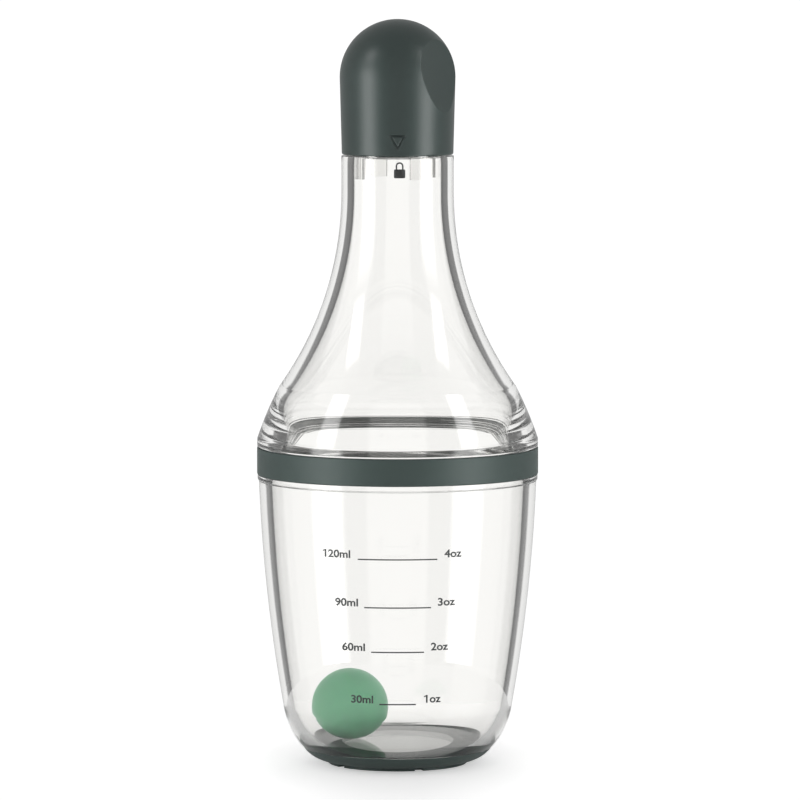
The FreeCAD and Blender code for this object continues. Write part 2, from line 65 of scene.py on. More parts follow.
print("nodes:", sorted(nodes))

# %% [markdown]
# ## The camera
# A product picture like this is taken from far away with a long lens, a little above the
# middle of the bottle, so that upright lines stay upright. A long lens could be copied with
# an orthographic camera, but then the rims would show as flat lines. Here the camera stands
# a good metre and a half away, looks down by just under five degrees, and has a lens to match.

# %% Camera
AIM = Vector((0.0006, 0.0, 0.09103))
CAMERA_DISTANCE = 1.622
CAMERA_RISE = math.radians(4.88)
SENSOR_WIDTH = 36.0
FOCAL_LENGTH = 292.5
lens = bpy.data.cameras.new("studio_camera")
lens.sensor_width = SENSOR_WIDTH
lens.lens = FOCAL_LENGTH
camera = bpy.data.objects.new("studio_camera", lens)
bpy.context.scene.collection.objects.link(camera)
back = Vector((0.0, -math.cos(CAMERA_RISE), math.sin(CAMERA_RISE)))
camera.location = AIM + back * CAMERA_DISTANCE
camera.rotation_euler = (math.radians(90) - CAMERA_RISE, 0.0, 0.0)
bpy.context.scene.camera = camera
print("camera at", [round(c, 3) for c in camera.location])

# %% [markdown]
# ## Small helpers for node trees
# Both the lighting and the finishes are node trees, and so is the lathe further down. Adding
# nodes by hand takes many lines, so two helpers do it: one adds a node and sets its inputs,
# the other adds one step of arithmetic and gives back its result.

# %% Node helpers
def add(tree, kind, inputs=None, **settings):
    """A new node. An input is a number, a colour or the output of another node."""
    node = tree.nodes.new(kind)
    for name, value in settings.items():
        setattr(node, name, value)
    for name, value in (inputs or {}).items():
        if isinstance(value, bpy.types.NodeSocket):
            tree.links.new(value, node.inputs[name])
        else:
            node.inputs[name].default_value = value
    return node


def calc(tree, operation, *values, clamp=False):
    """One step of arithmetic."""
    given = dict(enumerate(values))
    return add(tree, "ShaderNodeMath", given, operation=operation, use_clamp=clamp).outputs[0]


print("helpers ready")

# %% [markdown]
# ## The studio
# Clear plastic shows what is around it. The dark lines along its edges come from dim places
# beside the bright background, so the room matters as much as the plastic. Lamps could
# stand round the bottle, but they would get in the way of other views. Instead the world is
# bright behind, left, right and in front, with dimmer corners between. Light that comes
# straight through a front and a back wall passes four surfaces, and it finds white on every
# side, so that the bottle stays clear from wherever one looks. Only mirrored light sees very
# bright soft boxes left and right of the camera: two broad ones give the pale stripes on the
# cap, two small ones higher up the white glints on the shoulder. The floor is pale and small,
# with a little light of its own, so that it melts into the white around it. Seen through the
# plastic it has less of that light, or the lower sides of the cup would fade away.
# Near the foot the floor's own light is weaker. This is a painted shadow, an oval that reaches further to the
# front and back than to the sides.

# %% World
WHITE = (1.0, 1.0, 1.0, 1.0)
CORNER_GLOW = 0.14
PANEL_GLOW = 0.8
PANEL_EDGE = (25, 31)
OVERHEAD_EDGE = (38, 60)
TABLE_EDGE = (-45, -32)
world = bpy.data.worlds.new("studio")
bpy.context.scene.world = world
world.use_nodes = True
room = world.node_tree
room.nodes.clear()


def fade_out(angle, bright, dark):
    """One up to the first angle, falling softly to nothing at the second, both in degrees."""
    return add(room, "ShaderNodeMapRange", {
        "Value": angle, "From Min": math.radians(bright), "From Max": math.radians(dark),
        "To Min": 1.0, "To Max": 0.0}, interpolation_type="SMOOTHSTEP").outputs[0]


look = add(room, "ShaderNodeTexCoord").outputs["Generated"]
ways = add(room, "ShaderNodeSeparateXYZ", {0: look}).outputs
turn = calc(room, "ARCTAN2", ways["X"], ways["Y"])
rise = calc(room, "ARCSINE", ways["Z"])
quarter = calc(room, "PINGPONG", calc(room, "ADD", turn, 4 * math.pi), math.pi / 4)
panel = calc(room, "MULTIPLY", fade_out(quarter, *PANEL_EDGE), fade_out(rise, *OVERHEAD_EDGE))
table = fade_out(rise, *TABLE_EDGE)
glow = calc(room, "MULTIPLY_ADD", calc(room, "MAXIMUM", panel, table), PANEL_GLOW, CORNER_GLOW)
print("room made of", len(room.nodes), "nodes")

# %% Soft boxes
BROAD_LIGHT = 5.0
BROAD_ASIDE = (61, 10, 18)
BROAD_UP = (-40, 47, 66)
SMALL_LIGHT = 6.0
SMALL_ASIDE = (67, 6, 11)
SMALL_UP = (36, 7, 12)
MIRRORED_TABLE = 0.4
MIRRORED_ROOM = 0.5


def within(angle, middle, bright, dark):
    """One near the middle, falling softly to nothing on both sides, all in degrees."""
    aside = calc(room, "SUBTRACT", angle, math.radians(middle))
    return fade_out(calc(room, "ABSOLUTE", aside), bright, dark)


from_front = calc(room, "SUBTRACT", math.pi, calc(room, "ABSOLUTE", turn))
broad = calc(room, "MULTIPLY", within(from_front, *BROAD_ASIDE), within(rise, *BROAD_UP))
small = calc(room, "MULTIPLY", within(from_front, *SMALL_ASIDE), within(rise, *SMALL_UP))
mirrored = calc(room, "MULTIPLY_ADD", table, MIRRORED_TABLE, MIRRORED_ROOM)
mirrored = calc(room, "MULTIPLY_ADD", small, SMALL_LIGHT, mirrored)
mirrored = calc(room, "MULTIPLY_ADD", broad, BROAD_LIGHT, mirrored)
print("room with soft boxes made of", len(room.nodes), "nodes")

# %% What each kind of light sees
CAMERA_WHITE = 1.05
CLEAR_WHITE = 1.0
TWO_WALLS = 4.0


def choose(factor, otherwise, chosen):
    """The second value where the factor is one, else the first."""
    return add(room, "ShaderNodeMix", {"Factor": factor, "A": otherwise, "B": chosen}).outputs["Result"]


way = add(room, "ShaderNodeLightPath").outputs
two_walls = calc(room, "COMPARE", way["Transmission Depth"], TWO_WALLS, 0.5)
bounced = calc(room, "MULTIPLY", way["Is Glossy Ray"], way["Is Reflection Ray"])
inside = choose(bounced, choose(two_walls, glow, CLEAR_WHITE), mirrored)
strength = choose(way["Is Camera Ray"], inside, CAMERA_WHITE)
light = add(room, "ShaderNodeBackground", {"Color": WHITE, "Strength": strength})
add(room, "ShaderNodeOutputWorld", {"Surface": light.outputs[0]})
bpy.context.scene.view_settings.view_transform = "Standard"
paths = bpy.context.scene.cycles
paths.max_bounces, paths.glossy_bounces, paths.transmission_bounces = 40, 24, 40
print("world made of", len(room.nodes), "nodes")

# %% Floor
FLOOR_RADIUS = 0.1
FLOOR_SIDES = 96
FLOOR_COLOUR = (0.85, 0.85, 0.85, 1.0)
PAINTED_SHADOW_START, PAINTED_SHADOW_END = 0.02, 0.098
LIGHT_AT_FOOT, LIGHT_AT_RIM = 0.42, 0.76
SHADOW_NARROWER_SIDEWAYS = (2.4, 1.0, 1.0)
LEFT_BY_PLASTIC = 0.3
rim_angles = [2 * math.pi * i / FLOOR_SIDES for i in range(FLOOR_SIDES)]
floor_rim = [(FLOOR_RADIUS * math.cos(a), FLOOR_RADIUS * math.sin(a), 0.0) for a in rim_angles]
floor_mesh = bpy.data.meshes.new("floor")
floor_mesh.from_pydata(floor_rim, [], [list(range(FLOOR_SIDES))])
floor = bpy.data.objects.new("floor", floor_mesh)
bpy.context.scene.collection.objects.link(floor)
pale = bpy.data.materials.new("pale_floor")
pale.use_nodes = True
paint = pale.node_tree
paint.nodes.clear()
matte = add(paint, "ShaderNodeBsdfDiffuse", {"Color": FLOOR_COLOUR})
# The floor's own light is dimmer near the foot, a painted shadow. It is an oval, narrower to the sides, and
# it rises to full light towards the rim.
on_floor = add(paint, "ShaderNodeTexCoord").outputs["Object"]
painted_shadow_oval = add(paint, "ShaderNodeVectorMath", {0: on_floor, 1: SHADOW_NARROWER_SIDEWAYS}, operation="MULTIPLY")
from_foot = add(paint, "ShaderNodeVectorMath", {0: painted_shadow_oval.outputs["Vector"]}, operation="LENGTH")
fade = add(paint, "ShaderNodeMapRange", {
    "Value": from_foot.outputs["Value"], "From Min": PAINTED_SHADOW_START, "From Max": PAINTED_SHADOW_END,
    "To Min": LIGHT_AT_FOOT, "To Max": LIGHT_AT_RIM}).outputs[0]
direct = add(paint, "ShaderNodeLightPath").outputs["Is Camera Ray"]
share = calc(paint, "MULTIPLY_ADD", direct, 1.0 - LEFT_BY_PLASTIC, LEFT_BY_PLASTIC)
glow_with_painted_shadow = calc(paint, "MULTIPLY", fade, share)
own = add(paint, "ShaderNodeEmission", {"Color": WHITE, "Strength": glow_with_painted_shadow})
both = add(paint, "ShaderNodeAddShader", {0: matte.outputs[0], 1: own.outputs[0]})
add(paint, "ShaderNodeOutputMaterial", {"Surface": both.outputs[0]})
floor_mesh.materials.append(pale)
print("floor", FLOOR_RADIUS, "m in radius")

# %% [markdown]
# ## The finishes
# Every finish starts as a Principled shader, and a noise texture on the piece's own
# coordinates keeps it from looking like a flat computer colour. The noise drives how rough
# the surface is and a very shallow bump. The clear plastic only gets a faint waviness, as
# moulded plastic has. The dark rubber and the cap have a fine grain, and the ball lets some
# light in under its skin.

# %% A finish
PATCH_GRAINS = 14
NOISE_LOW, NOISE_HIGH = 0.3, 0.7


def finish(name, colour, roughness, grain, bump, spread=0.06, mottle=0.0, edge=0.0, **shader):
    """A moulded finish: size and height of its grain and the round of its edges, all in mm."""
    made = bpy.data.materials.new(name)
    made.use_nodes = True
    tree = made.node_tree
    tree.nodes.clear()
    place = add(tree, "ShaderNodeTexCoord").outputs["Object"]
    noise = add(tree, "ShaderNodeTexNoise", {
        "Vector": place, "Scale": 1.0 / (grain * MM), "Detail": 3.0, "Roughness": 0.55}).outputs["Fac"]
    rough = add(tree, "ShaderNodeMapRange", {
        "Value": noise, "From Min": NOISE_LOW, "From Max": NOISE_HIGH,
        "To Min": max(0.0, roughness - spread), "To Max": roughness + spread}).outputs[0]
    dents = add(tree, "ShaderNodeBump", {"Strength": 1.0, "Distance": bump * MM, "Height": noise})
    if edge:
        soft = add(tree, "ShaderNodeBevel", {"Radius": edge * MM}, samples=6)
        tree.links.new(soft.outputs[0], dents.inputs["Normal"])
    skin = add(tree, "ShaderNodeBsdfPrincipled", {"Roughness": rough, "Normal": dents.outputs[0]})
    skin.inputs["Base Color"].default_value = (*colour, 1.0)
    if mottle:
        patches = add(tree, "ShaderNodeTexNoise", {
            "Vector": place, "Scale": 1.0 / (PATCH_GRAINS * grain * MM), "Detail": 2.0}).outputs["Fac"]
        tone = add(tree, "ShaderNodeMixRGB", {
            "Fac": patches, "Color1": (*[c * (1 - mottle) for c in colour], 1.0),
            "Color2": (*[min(1.0, c * (1 + mottle)) for c in colour], 1.0)}).outputs[0]
        tree.links.new(tone, skin.inputs["Base Color"])
    for socket, value in shader.items():
        skin.inputs[socket.replace("_", " ")].default_value = value
    add(tree, "ShaderNodeOutputMaterial", {"Surface": skin.outputs[0]})
    return made


clear_plastic = finish("clear_plastic", (0.992, 0.989, 0.976), 0.008, 22.0, 0.012, spread=0.008,
                       Transmission_Weight=1.0, IOR=1.52)
cap_plastic = finish("cap_plastic", (0.046, 0.068, 0.063), 0.36, 0.16, 0.004, mottle=0.05, edge=0.5)
dark_silicone = finish("dark_silicone", (0.054, 0.082, 0.075), 0.5, 0.25, 0.006, mottle=0.06)
pale_silicone = finish("pale_silicone", (0.62, 0.66, 0.63), 0.5, 0.3, 0.006, mottle=0.05)
ball_silicone = finish("ball_silicone", (0.27, 0.68, 0.42), 0.36, 0.35, 0.008, mottle=0.08,
                       Subsurface_Weight=0.6, Subsurface_Radius=(0.6, 1.0, 0.7), Subsurface_Scale=0.004)
ink = finish("scale_ink", (0.06, 0.066, 0.066), 0.55, 0.12, 0.003, mottle=0.12)
print("finishes:", [m.name for m in bpy.data.materials])

# %% [markdown]
# ## Outlines for turned pieces
# The cup and the funnel are bodies of revolution: one outline, turned round the upright
# axis. The outline could be pulled by hand in the viewport, but here its corners are known
# in millimetres, as radius and height, so it is written as a list. A side between two
# corners is straight or an arc, and every corner gets a small round, because a moulded edge
# always has one and it is the edge that catches the light. Extra points close to each
# corner keep the smooth shading from leaking into the flat sides. A side goes by the number
# of the corner that it starts from, counted from 0.

# %% Sides of an outline
SPACING = 2.0
SHORT_SIDE = 0.3
END_GAP = 0.04


def arc(start, end, radius, side, steps):
    """Points from start to end on an arc whose centre is left (1) or right (-1) of the way."""
    start, end = Vector(start), Vector(end)
    run = end - start
    aside = Vector((-run.y, run.x)).normalized() * side
    centre = (start + end) / 2 + aside * math.sqrt(radius ** 2 - run.length_squared / 4)
    first = math.atan2(*reversed(start - centre))
    sweep = math.atan2(*reversed(end - centre)) - first
    sweep = (sweep + math.pi) % (2 * math.pi) - math.pi
    angles = [first + sweep * i / steps for i in range(steps + 1)]
    return [centre + Vector((math.cos(angle), math.sin(angle))) * radius for angle in angles]


def straight(start, end, spacing):
    """Points on a straight side, with one close to each end."""
    start, end = Vector(start), Vector(end)
    length = (end - start).length
    count = max(1, round(length / spacing))
    shares = [i / count for i in range(count + 1)]
    if length > SHORT_SIDE:
        shares = [0.0, END_GAP / length] + shares[1:-1] + [1 - END_GAP / length, 1.0]
    return [start.lerp(end, share) for share in shares]


print("sides ready")

# %% Rounded corners and the whole outline
SOFTEN = 0.12
JUST_BEYOND = 1.02


def reach(side, distance):
    """The point on a side that far from its start."""
    for a, b in zip(side, side[1:]):
        step = (b - a).length
        if distance <= step:
            return a.lerp(b, distance / step)
        distance -= step
    return side[-1]


def corner_round(before, after):
    """Six points round the corner where two sides meet."""
    corner = after[0]
    inward = reach(list(reversed(before)), SOFTEN) - corner
    onward = reach(after, SOFTEN) - corner
    return [corner + inward * (1 - t) ** 2 + onward * t ** 2 for t in (0, 0.2, 0.4, 0.6, 0.8, 1)]


def clear_of(corner, points):
    """The points that lie beyond the round of a corner."""
    return [p for p in points if (p - corner).length > SOFTEN * JUST_BEYOND]


def outline(corners, arcs, closed, spacings):
    """Points in mm. arcs maps a side to (radius, side, points), spacings a side to its spacing."""
    count = len(corners)
    sides = []
    for i in range(count if closed else count - 1):
        a, b = corners[i], corners[(i + 1) % count]
        sides.append(arc(a, b, *arcs[i]) if i in arcs else straight(a, b, spacings.get(i, SPACING)))
    points = []
    for i, side in enumerate(sides):
        trimmed = side
        if closed or i > 0:
            points += corner_round(sides[i - 1], side)
            trimmed = clear_of(side[0], trimmed)
        if closed or i + 1 < len(sides):
            trimmed = clear_of(side[-1], trimmed)
        points += trimmed
    return points


print("outline helper ready")

# %% [markdown]
# ## The lathe
# Turning an outline is what a lathe does, and Geometry Nodes can be one: the outline becomes
# a curve, a circle is the path, and Curve to Mesh sweeps one along the other. The modifier
# Screw would do as well, but in a node tree the screw thread can follow in the same go: a
# rule pushes the wall in or out where a ridge climbs round it. A ridge made as a separate
# piece would leave a hidden wall inside the clear plastic, and that would show.

# %% Lathe tree
RAIL = 1.0 * MM
MERGE_DISTANCE = 2e-7
lathe = bpy.data.node_groups.new("lathe", "GeometryNodeTree")
LATHE_INPUTS = [
    ("Outline", "NodeSocketGeometry"), ("Segments", "NodeSocketInt"),
    ("Ridge Radius", "NodeSocketFloat"), ("Ridge Height", "NodeSocketFloat"),
    ("Ridge Depth", "NodeSocketFloat"), ("Pitch", "NodeSocketFloat"), ("Turns", "NodeSocketFloat"),
    ("Root Width", "NodeSocketFloat"), ("Crest Width", "NodeSocketFloat"),
    ("Finish", "NodeSocketMaterial"),
]
LATHE_KEYS = {name: lathe.interface.new_socket(name, in_out="INPUT", socket_type=kind).identifier
              for name, kind in LATHE_INPUTS}
lathe.interface.new_socket("Piece", in_out="OUTPUT", socket_type="NodeSocketGeometry")
given = add(lathe, "NodeGroupInput").outputs
path = add(lathe, "GeometryNodeCurvePrimitiveCircle", {"Resolution": given["Segments"], "Radius": RAIL})
line = add(lathe, "GeometryNodeMeshToCurve", {"Mesh": given["Outline"]})
swept = add(lathe, "GeometryNodeCurveToMesh", {
    "Curve": path.outputs["Curve"], "Profile Curve": line.outputs["Curve"]})
joined = add(lathe, "GeometryNodeMergeByDistance", {"Geometry": swept.outputs[0], "Distance": MERGE_DISTANCE})
print("lathe inputs:", list(LATHE_KEYS))

# %% The thread rule in the lathe
ENDS_PER_TURN = 25.0
RIDGE_REACH = 0.4 * MM
NOT_ZERO = 1e-6
spot = add(lathe, "ShaderNodeSeparateXYZ", {0: add(lathe, "GeometryNodeInputPosition").outputs[0]}).outputs
radius = calc(lathe, "SQRT", calc(lathe, "ADD", calc(lathe, "POWER", spot["X"], 2.0),
                                  calc(lathe, "POWER", spot["Y"], 2.0)))
part_turn = calc(lathe, "FRACT", calc(lathe, "ADD", calc(
    lathe, "DIVIDE", calc(lathe, "ARCTAN2", spot["Y"], spot["X"]), 2 * math.pi), 1.0))
climb = calc(lathe, "SUBTRACT", calc(lathe, "DIVIDE", calc(
    lathe, "SUBTRACT", spot["Z"], given["Ridge Height"]), given["Pitch"]), part_turn)
lap = calc(lathe, "ROUND", climb)
off = calc(lathe, "MULTIPLY", calc(lathe, "ABSOLUTE", calc(lathe, "SUBTRACT", climb, lap)), given["Pitch"])
along = calc(lathe, "ADD", lap, part_turn)
root = calc(lathe, "DIVIDE", given["Root Width"], 2.0)
slope = calc(lathe, "DIVIDE", calc(lathe, "SUBTRACT", given["Root Width"], given["Crest Width"]), 2.0)
flank = calc(lathe, "DIVIDE", calc(lathe, "SUBTRACT", root, off), slope, clamp=True)
run_in = calc(lathe, "MULTIPLY", along, ENDS_PER_TURN, clamp=True)
run_out = calc(lathe, "MULTIPLY", calc(lathe, "SUBTRACT", given["Turns"], along), ENDS_PER_TURN, clamp=True)
near = calc(lathe, "LESS_THAN", calc(lathe, "ABSOLUTE", calc(
    lathe, "SUBTRACT", radius, given["Ridge Radius"])), RIDGE_REACH)
lift = calc(lathe, "MULTIPLY", calc(lathe, "MULTIPLY", flank, near), calc(lathe, "MULTIPLY", run_in, run_out))
push = calc(lathe, "DIVIDE", calc(lathe, "MULTIPLY", lift, given["Ridge Depth"]),
            calc(lathe, "MAXIMUM", radius, NOT_ZERO))
offset = add(lathe, "ShaderNodeCombineXYZ", {
    "X": calc(lathe, "MULTIPLY", spot["X"], push), "Y": calc(lathe, "MULTIPLY", spot["Y"], push)})
ridged = add(lathe, "GeometryNodeSetPosition", {"Geometry": joined.outputs[0], "Offset": offset.outputs[0]})
smooth = add(lathe, "GeometryNodeSetShadeSmooth", {"Geometry": ridged.outputs[0]})
whole = add(lathe, "GeometryNodeRealizeInstances", {"Geometry": smooth.outputs[0]})
painted = add(lathe, "GeometryNodeSetMaterial", {"Geometry": whole.outputs[0], "Material": given["Finish"]})
add(lathe, "NodeGroupOutput", {0: painted.outputs[0]})
print("lathe made of", len(lathe.nodes), "nodes")


# %% Turning a piece
SEGMENTS = 200


def turn_piece(name, points, closed, settings):
    """One turned piece from an outline in mm, as a plain mesh."""
    flat = bpy.data.meshes.new(name + "_outline")
    edges = [(i, i + 1) for i in range(len(points) - 1)] + ([(len(points) - 1, 0)] if closed else [])
    flat.from_pydata([(p.x * MM - RAIL, -p.y * MM, 0.0) for p in points], edges, [])
    maker = bpy.data.objects.new(name, flat)
    bpy.context.scene.collection.objects.link(maker)
    modifier = maker.modifiers.new("lathe", "NODES")
    modifier.node_group = lathe
    for key, value in {"Segments": SEGMENTS, **settings}.items():
        modifier[LATHE_KEYS[key]] = value
    ready = maker.evaluated_get(bpy.context.evaluated_depsgraph_get())
    mesh = bpy.data.meshes.new_from_object(ready)
    mesh.name = name
    maker.modifiers.remove(modifier)
    maker.data = mesh
    bpy.data.meshes.remove(flat)
    print(name, "has", len(mesh.polygons), "faces")
    return maker


# %% [markdown]
# ## The cup
# The cup is one clear moulding with a thick wall and a thicker floor, a lip near the top that
# carries the sealing band, and a threaded collar above it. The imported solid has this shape
# too, but its triangles are sized for fit, and thick clear plastic magnifies every facet. So
# the cup is turned again on the lathe with many more faces. Its underside reaches a hair into
# the foot ring, because the ring is moulded on, with no air between them.

# %% Cup
CUP_FLOOR, CUP_BASE = 5.0, 1.8
COLLAR_BORE, COLLAR_RADIUS, COLLAR_TOP = 31.4, 33.0, 78.15
LIP_RADIUS, LIP_BASE, LIP_TOP = 34.95, 71.15, 72.65
WALL_FOOT, WALL_TOP, WALL_ROUND = (28.4, 13.5), (34.65, LIP_BASE), 415.0
FOOT_SEAT = 3.9
THREAD_DEPTH = 0.7
THREAD_SPACING = 0.09
THREAD = {"Pitch": 2.6 * MM, "Root Width": 1.5 * MM, "Crest Width": 0.7 * MM, "Finish": clear_plastic}
CUP = [(0, CUP_FLOOR), (20.02, CUP_FLOOR), (25.84, 14.8), (COLLAR_BORE, LIP_BASE),
       (COLLAR_BORE, COLLAR_TOP), (COLLAR_RADIUS, COLLAR_TOP), (COLLAR_RADIUS, LIP_TOP),
       (LIP_RADIUS, LIP_TOP), (LIP_RADIUS, 71.6), WALL_TOP, WALL_FOOT, (23.5, 4.0),
       (23.45, FOOT_SEAT), (22.5, FOOT_SEAT), (16.8, CUP_BASE), (0, CUP_BASE)]
CUP_ARCS = {1: (16.3, 1, 40), 2: (WALL_ROUND, 1, 36), 8: (0.5, -1, 8), 9: (WALL_ROUND, -1, 36),
            10: (19.75, -1, 24)}
cup_line = outline(CUP, CUP_ARCS, False, {3: THREAD_SPACING})
cup = turn_piece("clear_cup", cup_line, False, {
    **THREAD, "Ridge Radius": COLLAR_BORE * MM, "Ridge Height": 72.75 * MM,
    "Ridge Depth": -THREAD_DEPTH * MM, "Turns": 1.4})
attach(cup, "cup")
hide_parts("cup")

# %% [markdown]
# ## The funnel
# The funnel closes the cup: a skirt with an outside thread goes down into the collar, a long
# hollow sweep leads up to the neck. It is turned in the same way, this time from a closed
# outline, because it is open at both ends. The sweep is one big round from the neck, inside
# and out. Its radius follows from how far across and down it goes.

# %% Funnel
NECK_RADIUS, NECK_BORE, NECK_FOOT, NECK_TOP = 14.0, 10.85, 142.9, 152.1
SKIRT_RADIUS, SKIRT_BORE, SKIRT_FOOT = 30.4, 29.2, 73.05
FLANGE, FLANGE_BASE = (35.05, 79.95), 79.45
SWEEP_ACROSS_SHARE, SWEEP_DOWN_SHARE, INNER_LEAN_SHARE = 0.734569915, 0.766498993, 0.971671388
sweep_across = (FLANGE[0] - NECK_RADIUS) * SWEEP_ACROSS_SHARE
sweep_down = (NECK_FOOT - FLANGE[1]) * SWEEP_DOWN_SHARE
sweep = 2 * math.atan(sweep_across / sweep_down)
sweep_round = sweep_down / math.sin(sweep)
joint = (NECK_RADIUS + sweep_across, NECK_FOOT - sweep_down)
lean = sweep * INNER_LEAN_SHARE
inner_round = sweep_round + NECK_RADIUS - NECK_BORE
inner = (NECK_BORE + inner_round * (1 - math.cos(lean)), NECK_FOOT - inner_round * math.sin(lean))
inner_turn = (SKIRT_BORE - inner[0]) / (1 - math.cos(lean))
FUNNEL = [(SKIRT_BORE, SKIRT_FOOT), (SKIRT_BORE, inner[1] - inner_turn * math.sin(lean)), inner,
          (NECK_BORE, NECK_FOOT), (NECK_BORE, NECK_TOP), (NECK_RADIUS, NECK_TOP), (NECK_RADIUS, NECK_FOOT),
          joint, (34.88, 82.0), (FLANGE[0], 81.2), FLANGE, (34.55, FLANGE_BASE),
          (SKIRT_RADIUS, FLANGE_BASE), (SKIRT_RADIUS, SKIRT_FOOT)]
FUNNEL_ARCS = {1: (inner_turn, 1, 14), 2: (inner_round, -1, 40), 6: (sweep_round, 1, 40), 7: (90.0, -1, 24),
               8: (2.0, -1, 8), 10: (0.5, -1, 8)}
funnel_line = outline(FUNNEL, FUNNEL_ARCS, True, {12: THREAD_SPACING})
funnel = turn_piece("clear_funnel", funnel_line, True, {
    **THREAD, "Ridge Radius": SKIRT_RADIUS * MM, "Ridge Height": 74.05 * MM,
    "Ridge Depth": THREAD_DEPTH * MM, "Turns": 1.2})
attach(funnel, "upper")
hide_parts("funnel")

# %% [markdown]
# ## The print
# A measuring scale is printed on the cup, and a small lock sign on the neck shows where the
# cap's arrow points when it is shut. A picture wrapped round the plastic would turn soft up
# close, so the ink is a very thin layer of real shapes. It is laid out flat, in mm across and
# up, as if the wall were unrolled. A node tree then does what a printer does: it adds the
# lines of the scale and bends the sheet round the wall by a rule.

# %% Bending rule
LINE_POINTS = 49
wrap = bpy.data.node_groups.new("print_on_wall", "GeometryNodeTree")
WRAP_INPUTS = [
    ("Sheet", "NodeSocketGeometry"), ("Wall Round", "NodeSocketFloat"),
    ("Centre Radius", "NodeSocketFloat"), ("Centre Height", "NodeSocketFloat"),
    ("Line Width", "NodeSocketFloat"), ("Ink Depth", "NodeSocketFloat"), ("Finish", "NodeSocketMaterial"),
]
WRAP_KEYS = {name: wrap.interface.new_socket(name, in_out="INPUT", socket_type=kind).identifier
             for name, kind in WRAP_INPUTS}
wrap.interface.new_socket("Print", in_out="OUTPUT", socket_type="NodeSocketGeometry")
given = add(wrap, "NodeGroupInput").outputs
half = add(wrap, "GeometryNodeInputNamedAttribute", {"Name": "half_length"}, data_type="FLOAT").outputs[0]
sorted_out = add(wrap, "GeometryNodeSeparateGeometry", {
    "Geometry": given["Sheet"], "Selection": calc(wrap, "GREATER_THAN", half, 0.0)}, domain="POINT").outputs
bar = add(wrap, "GeometryNodeMeshCube", {"Size": (2.0, 1.0, 1.0), "Vertices X": LINE_POINTS}).outputs["Mesh"]
measure = add(wrap, "ShaderNodeCombineXYZ", {"X": half, "Y": given["Ink Depth"], "Z": given["Line Width"]})
lines = add(wrap, "GeometryNodeInstanceOnPoints", {
    "Points": sorted_out["Selection"], "Instance": bar, "Scale": measure.outputs[0]})
solid = add(wrap, "GeometryNodeRealizeInstances", {"Geometry": lines.outputs[0]})
sheet = add(wrap, "GeometryNodeJoinGeometry")
for part in (sorted_out["Inverted"], solid.outputs[0]):
    wrap.links.new(part, sheet.inputs[0])
spot = add(wrap, "ShaderNodeSeparateXYZ", {0: add(wrap, "GeometryNodeInputPosition").outputs[0]}).outputs
fall = calc(wrap, "SUBTRACT", calc(wrap, "POWER", given["Wall Round"], 2.0),
            calc(wrap, "POWER", calc(wrap, "SUBTRACT", spot["Z"], given["Centre Height"]), 2.0))
wall = calc(wrap, "ADD", given["Centre Radius"], calc(wrap, "SQRT", calc(wrap, "MAXIMUM", fall, 0.0)))
angle = calc(wrap, "DIVIDE", spot["X"], wall)
radius = calc(wrap, "SUBTRACT", wall, spot["Y"])
bent = add(wrap, "ShaderNodeCombineXYZ", {
    "X": calc(wrap, "MULTIPLY", radius, calc(wrap, "SINE", angle)),
    "Y": calc(wrap, "MULTIPLY", radius, calc(wrap, "MULTIPLY", calc(wrap, "COSINE", angle), -1.0)),
    "Z": spot["Z"]})
placed = add(wrap, "GeometryNodeSetPosition", {"Geometry": sheet.outputs[0], "Position": bent.outputs[0]})
whole = add(wrap, "GeometryNodeRealizeInstances", {"Geometry": placed.outputs[0]})
painted = add(wrap, "GeometryNodeSetMaterial", {"Geometry": whole.outputs[0], "Material": given["Finish"]})
add(wrap, "NodeGroupOutput", {0: painted.outputs[0]})
print("bending rule made of", len(wrap.nodes), "nodes")

# %% Flat letters and shapes
INK = 0.06
DIGIT = 1.9
LINE_WIDTH = 0.32
STROKE_GAIN = 0.024


def letters(body, left, right, base):
    """A word as flat solid letters, from left to right in mm, standing on a height."""
    word = bpy.data.curves.new(body, "FONT")
    word.body = body
    word.extrude = 0.5
    word.bevel_depth = STROKE_GAIN
    word.bevel_resolution = 0
    holder = bpy.data.objects.new(body, word)
    mesh = bpy.data.meshes.new_from_object(holder)
    across = [v.co.x for v in mesh.vertices]
    tall = max(v.co.y for v in mesh.vertices)
    wide = (right - left) / (max(across) - min(across))
    points = [(left + (v.co.x - min(across)) * wide, -v.co.z * INK, base + v.co.y * DIGIT / tall)
              for v in mesh.vertices]
    faces = [list(p.vertices) for p in mesh.polygons]
    bpy.data.objects.remove(holder)
    bpy.data.curves.remove(word)
    bpy.data.meshes.remove(mesh)
    return points, faces


def plate(rim):
    """A flat solid shape from its rim, listed anticlockwise in mm across and up."""
    count = len(rim)
    points = [(x, -INK / 2, z) for x, z in rim] + [(x, INK / 2, z) for x, z in rim]
    faces = [list(range(count)), list(range(2 * count - 1, count - 1, -1))]
    faces += [[(i + 1) % count, i, count + i, count + (i + 1) % count] for i in range(count)]
    return points, faces


print("letters and plates ready")

